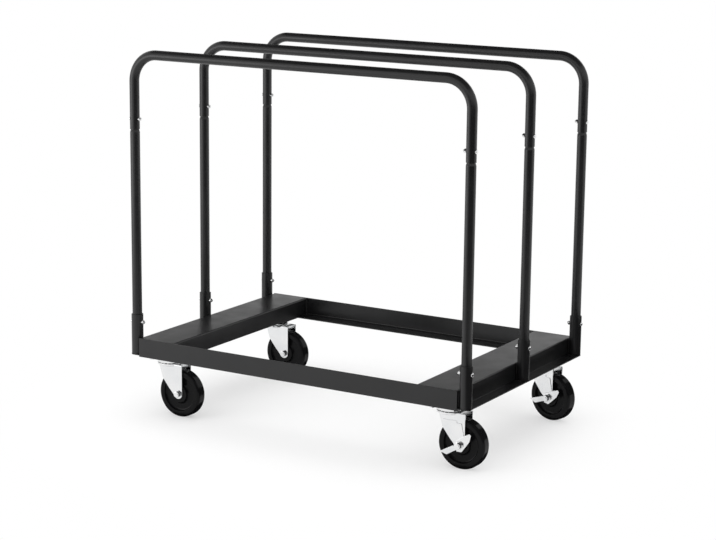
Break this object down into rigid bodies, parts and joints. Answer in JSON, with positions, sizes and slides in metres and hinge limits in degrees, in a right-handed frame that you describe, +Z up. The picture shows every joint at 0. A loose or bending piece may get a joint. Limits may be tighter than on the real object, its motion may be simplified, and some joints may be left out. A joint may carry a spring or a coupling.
{
  "type": "drywall cart",
  "caption": "Black steel drywall cart: a low welded base on swivel casters, the right pair braked, with tube hoops that keep boards standing on edge in bays.",
  "frame": {"origin": "on the floor under the middle of the base", "axes": "+X along the cart's length towards the braked end, +Y from the front rail to the rear rail, +Z up"},
  "size_m": [1.0285, 0.648, 0.9677],
  "materials": {
    "frame_paint": "satin powder coat",
    "zinc": "bright zinc plate",
    "wheel": "semi-gloss moulded"
  },
  "bodies": {
    "base": {"front_rail": "frame_paint", "rear_rail": "frame_paint", "left_deck": "frame_paint", "right_deck": "frame_paint", "caster_pads": "frame_paint", "socket_front_left": "frame_paint", "socket_front_right": "frame_paint", "socket_middle_left": "frame_paint", "socket_middle_right": "frame_paint", "socket_rear_left": "frame_paint", "socket_rear_right": "frame_paint", "post_front_left": "frame_paint", "post_front_right": "frame_paint", "post_middle_left": "frame_paint", "post_middle_right": "frame_paint", "post_rear_left": "frame_paint", "post_rear_right": "frame_paint", "hoop_front": "frame_paint", "hoop_middle": "frame_paint", "hoop_rear": "frame_paint", "socket_bolts": "zinc", "socket_nuts": "zinc", "joint_bolts": "zinc", "joint_nuts": "zinc", "caster_bolts": "zinc", "caster_nuts": "zinc", "kingpins": "zinc", "caster_plate_front_left": "zinc", "caster_plate_front_right": "zinc", "caster_plate_rear_left": "zinc", "caster_plate_rear_right": "zinc"},
    "swivel_front_left": {"fork_front_left": "zinc", "bearing_balls_front_left": "zinc", "bush_front_left": "zinc", "axle_front_left": "zinc", "axle_nut_front_left": "zinc"},
    "roller_front_left": {"wheel_front_left": "wheel"},
    "swivel_front_right": {"fork_front_right": "zinc", "bearing_balls_front_right": "zinc", "bush_front_right": "zinc", "axle_front_right": "zinc", "axle_nut_front_right": "zinc", "brake_plate_front_right": "zinc"},
    "roller_front_right": {"wheel_front_right": "wheel"},
    "brake_front_right": {"brake_lever_front_right": "zinc"},
    "swivel_rear_left": {"fork_rear_left": "zinc", "bearing_balls_rear_left": "zinc", "bush_rear_left": "zinc", "axle_rear_left": "zinc", "axle_nut_rear_left": "zinc"},
    "roller_rear_left": {"wheel_rear_left": "wheel"},
    "swivel_rear_right": {"fork_rear_right": "zinc", "bearing_balls_rear_right": "zinc", "bush_rear_right": "zinc", "axle_rear_right": "zinc", "axle_nut_rear_right": "zinc", "brake_plate_rear_right": "zinc"},
    "roller_rear_right": {"wheel_rear_right": "wheel"},
    "brake_rear_right": {"brake_lever_rear_right": "zinc"}
  },
  "joints": [
    {"name": "swivel_front_left", "type": "hinge", "parent": "base", "child": "swivel_front_left", "pos_m": [-0.42, -0.256, 0.1625], "axis": [0, 0, 1], "continuous": true},
    {"name": "wheel_spin_front_left", "type": "hinge", "parent": "swivel_front_left", "child": "roller_front_left", "pos_m": [-0.382, -0.256, 0.0635], "axis": [0, 1, 0], "continuous": true},
    {"name": "swivel_front_right", "type": "hinge", "parent": "base", "child": "swivel_front_right", "pos_m": [0.42, -0.256, 0.1625], "axis": [0, 0, 1], "continuous": true},
    {"name": "wheel_spin_front_right", "type": "hinge", "parent": "swivel_front_right", "child": "roller_front_right", "pos_m": [0.458, -0.256, 0.0635], "axis": [0, 1, 0], "continuous": true},
    {"name": "brake_front_right", "type": "hinge", "parent": "swivel_front_right", "child": "brake_front_right", "pos_m": [0.458, -0.256, 0.0635], "axis": [0, -1, 0], "range_deg": [-12, 13]},
    {"name": "swivel_rear_left", "type": "hinge", "parent": "base", "child": "swivel_rear_left", "pos_m": [-0.42, 0.256, 0.1625], "axis": [0, 0, 1], "continuous": true},
    {"name": "wheel_spin_rear_left", "type": "hinge", "parent": "swivel_rear_left", "child": "roller_rear_left", "pos_m": [-0.382, 0.256, 0.0635], "axis": [0, 1, 0], "continuous": true},
    {"name": "swivel_rear_right", "type": "hinge", "parent": "base", "child": "swivel_rear_right", "pos_m": [0.42, 0.256, 0.1625], "axis": [0, 0, 1], "continuous": true},
    {"name": "wheel_spin_rear_right", "type": "hinge", "parent": "swivel_rear_right", "child": "roller_rear_right", "pos_m": [0.45717, 0.2481, 0.0635], "axis": [0.2079, 0.9781, 0], "continuous": true},
    {"name": "brake_rear_right", "type": "hinge", "parent": "swivel_rear_right", "child": "brake_rear_right", "pos_m": [0.45717, 0.2481, 0.0635], "axis": [-0.2079, -0.9781, 0], "range_deg": [0, 25]}
  ]
}
